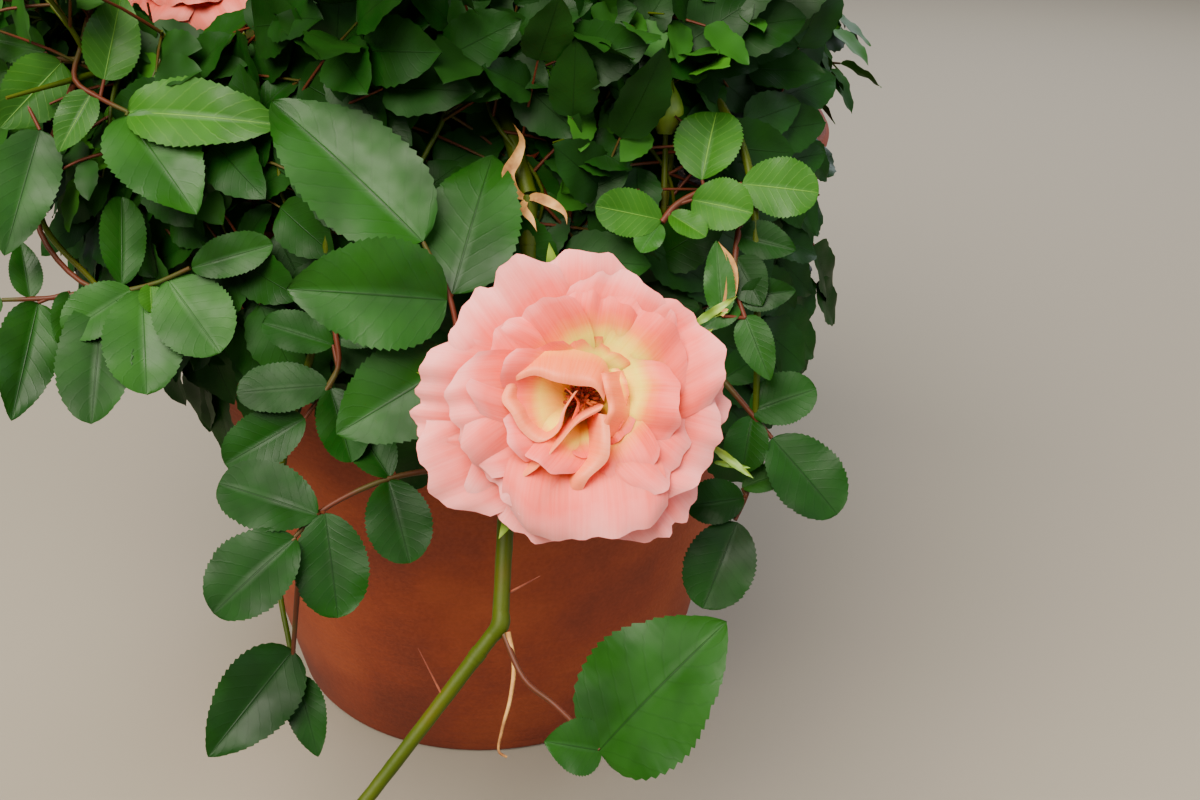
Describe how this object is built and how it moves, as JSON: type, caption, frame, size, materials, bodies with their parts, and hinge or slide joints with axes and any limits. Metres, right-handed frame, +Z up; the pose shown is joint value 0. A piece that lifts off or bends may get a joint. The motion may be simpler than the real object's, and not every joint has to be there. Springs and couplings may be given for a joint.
{
  "type": "potted rose bush",
  "caption": "Low arching rose bush in a plain round terracotta pot, with one large open pink bloom that hangs in front and smaller coral blooms.",
  "frame": {"origin": "centre of the pot's flat underside", "axes": "+Z up, -Y towards the side the picture shows, +X to the right as seen from there"},
  "size_m": [0.3644, 0.527, 0.5729],
  "materials": {
    "pot_terracotta": "matt unglazed terracotta",
    "potting_soil": "crumbly moist potting soil",
    "old_bark": "rough grey-brown bark",
    "green_cane": "satin green cane",
    "rose_leaf": "satin dark green leaf",
    "pink_petal": "soft satin petal",
    "coral_petal": "soft satin petal"
  },
  "bodies": {
    "root": {"bloom_shoot": "pink_petal", "bud_shoot": "rose_leaf", "cane_end_leaves": "rose_leaf", "cane_top": "green_cane", "cane_upper_back": "green_cane", "cane_upper_front": "green_cane", "cane_upper_left_back": "green_cane", "cane_upper_left_front": "green_cane", "cane_upper_right_back": "green_cane", "cane_upper_right_front": "green_cane", "coral_bloom_shoot": "coral_petal", "crown_base": "old_bark", "front_left_spray": "rose_leaf", "hanging_cane_fall": "green_cane", "hanging_cane_rise": "green_cane", "hanging_cane_tip": "green_cane", "hanging_leaf": "rose_leaf", "leaves_lower_back": "rose_leaf", "leaves_lower_front_left": "rose_leaf", "leaves_lower_front_right": "rose_leaf", "leaves_lower_left": "rose_leaf", "leaves_lower_left_back": "rose_leaf", "leaves_lower_right": "rose_leaf", "leaves_lower_right_back": "rose_leaf", "leaves_top": "rose_leaf", "leaves_upper_back": "rose_leaf", "leaves_upper_front": "rose_leaf", "leaves_upper_left_back": "rose_leaf", "leaves_upper_left_front": "rose_leaf", "leaves_upper_right_back": "rose_leaf", "leaves_upper_right_front": "rose_leaf", "left_spray": "rose_leaf", "low_leaf": "rose_leaf", "pot": "pot_terracotta", "right_spray": "rose_leaf", "shoot_coral_bloom": "green_cane", "shoot_front_left_spray": "green_cane", "shoot_left_spray": "green_cane", "shoot_lower_back": "green_cane", "shoot_lower_front_left": "green_cane", "shoot_lower_front_right": "green_cane", "shoot_lower_left": "green_cane", "shoot_lower_left_back": "green_cane", "shoot_lower_right": "green_cane", "shoot_lower_right_back": "green_cane", "shoot_right_spray": "green_cane", "soil": "potting_soil"}
  },
  "joints": []
}
